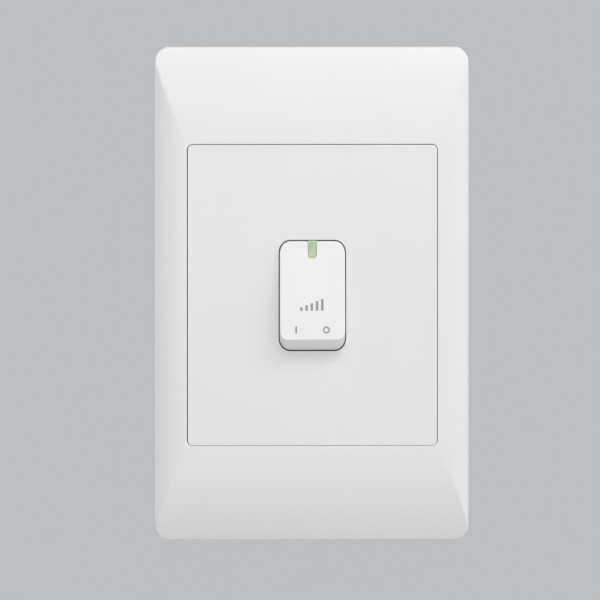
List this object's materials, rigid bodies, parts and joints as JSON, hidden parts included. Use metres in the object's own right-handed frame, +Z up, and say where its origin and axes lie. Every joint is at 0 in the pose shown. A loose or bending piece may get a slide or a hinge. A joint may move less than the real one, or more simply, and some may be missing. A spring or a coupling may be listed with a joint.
{
  "type": "wall dimmer with a push key",
  "caption": "Wall-plate dimmer for a flush box: clip-on crowned frame, flat centre panel and a small momentary push key with a light window.",
  "frame": {"origin": "midway between the two box screws, on the wall's surface", "axes": "+Y into the wall, +Z up the plate's long side, +X to the right seen from the front"},
  "size_m": [0.075, 0.0404, 0.1182],
  "materials": {
    "white_moulding": "satin moulded, fine grain",
    "white_panel": "satin moulded, flat",
    "white_key": "satin moulded with grey printed symbols",
    "light_window": "translucent pale green",
    "zinc_steel": "zinc plated sheet",
    "screw_steel": "zinc plated",
    "brass_parts": "bright",
    "case_plastic": "light grey, fine grain",
    "black_screw": "black oxide",
    "board_laminate": "solder mask over glass laminate",
    "black_plastic": "moulded",
    "plunger_plastic": "moulded",
    "lamp_resin": "tinted clear",
    "spring_steel": "drawn wire",
    "ferrite": "coated powder core",
    "copper_wire": "enamelled",
    "yellow_resin": "potted box",
    "bare_aluminium": "mill finish",
    "fuse_ceramic": "glazed tube",
    "tinned_clip": "tinned",
    "blue_resin": "dipped",
    "sleeve_film": "shrunk sleeve",
    "tan_lacquer": "lacquered",
    "terminal_steel": "zinc plated"
  },
  "bodies": {
    "base": {"centre_panel": "white_panel", "yoke": "zinc_steel", "box_screws": "screw_steel", "module_screws": "screw_steel", "earth_screw": "brass_parts", "earth_washer": "brass_parts", "front_housing": "case_plastic", "rear_cover": "case_plastic", "case_screws": "black_screw", "circuit_board": "board_laminate", "tact_switch": "black_plastic", "led": "lamp_resin", "return_spring": "spring_steel", "contact_bars": "brass_parts", "choke_core": "ferrite", "choke_winding": "copper_wire", "film_capacitor": "yellow_resin", "triac": "black_plastic", "heat_spreader": "bare_aluminium", "triac_screw": "screw_steel", "fuse": "fuse_ceramic", "fuse_clips": "tinned_clip", "varistor": "blue_resin", "electrolytic_capacitor": "sleeve_film", "control_chip": "black_plastic", "diodes": "black_plastic", "resistors": "tan_lacquer"},
    "cover": {"outer_frame": "white_moulding"},
    "key": {"rocker": "white_key", "indicator_lens": "light_window"},
    "plunger": {"tact_plunger": "plunger_plastic"},
    "clamp_screw_1": {"terminal_screw_1": "terminal_steel"},
    "clamp_cage_1": {"terminal_cage_1": "terminal_steel"},
    "clamp_screw_2": {"terminal_screw_2": "terminal_steel"},
    "clamp_cage_2": {"terminal_cage_2": "terminal_steel"},
    "clamp_screw_3": {"terminal_screw_3": "terminal_steel"},
    "clamp_cage_3": {"terminal_cage_3": "terminal_steel"}
  },
  "joints": [
    {"name": "rocker_tilt", "type": "hinge", "parent": "base", "child": "key", "pos_m": [0, -0.0034, 0], "axis": [1, 0, 0], "range_deg": [0, 5], "stiffness_Nm_per_rad": 0.25, "springref_deg": -2.86, "deforming": ["return_spring"]},
    {"name": "plunger_press", "type": "slide", "parent": "base", "child": "plunger", "axis": [0, 1, 0], "range_m": [0, 0.00032]},
    {"name": "frame_pull", "type": "slide", "parent": "base", "child": "cover", "axis": [0, -1, 0], "range_m": [0, 0.025]},
    {"name": "clamp_screw_1_turn", "type": "hinge", "parent": "base", "child": "clamp_screw_1", "pos_m": [-0.012, 0.0195, -0.0285], "axis": [0, 0, 1], "range_deg": [0, 2346]},
    {"name": "clamp_cage_1_slide", "type": "slide", "parent": "base", "child": "clamp_cage_1", "axis": [0, 0, -1], "range_m": [0, 0.0039]},
    {"name": "clamp_screw_2_turn", "type": "hinge", "parent": "base", "child": "clamp_screw_2", "pos_m": [0, 0.0195, -0.0285], "axis": [0, 0, 1], "range_deg": [0, 2346]},
    {"name": "clamp_cage_2_slide", "type": "slide", "parent": "base", "child": "clamp_cage_2", "axis": [0, 0, -1], "range_m": [0, 0.0039]},
    {"name": "clamp_screw_3_turn", "type": "hinge", "parent": "base", "child": "clamp_screw_3", "pos_m": [0.012, 0.0195, -0.0285], "axis": [0, 0, 1], "range_deg": [0, 2346]},
    {"name": "clamp_cage_3_slide", "type": "slide", "parent": "base", "child": "clamp_cage_3", "axis": [0, 0, -1], "range_m": [0, 0.0039]}
  ],
  "couplings": [
    {"joint": "plunger_press", "follows": "rocker_tilt", "m_per_rad": 0.0035},
    {"joint": "clamp_screw_1_turn", "follows": "clamp_cage_1_slide", "rad_per_m": 10472},
    {"joint": "clamp_screw_2_turn", "follows": "clamp_cage_2_slide", "rad_per_m": 10472},
    {"joint": "clamp_screw_3_turn", "follows": "clamp_cage_3_slide", "rad_per_m": 10472}
  ]
}
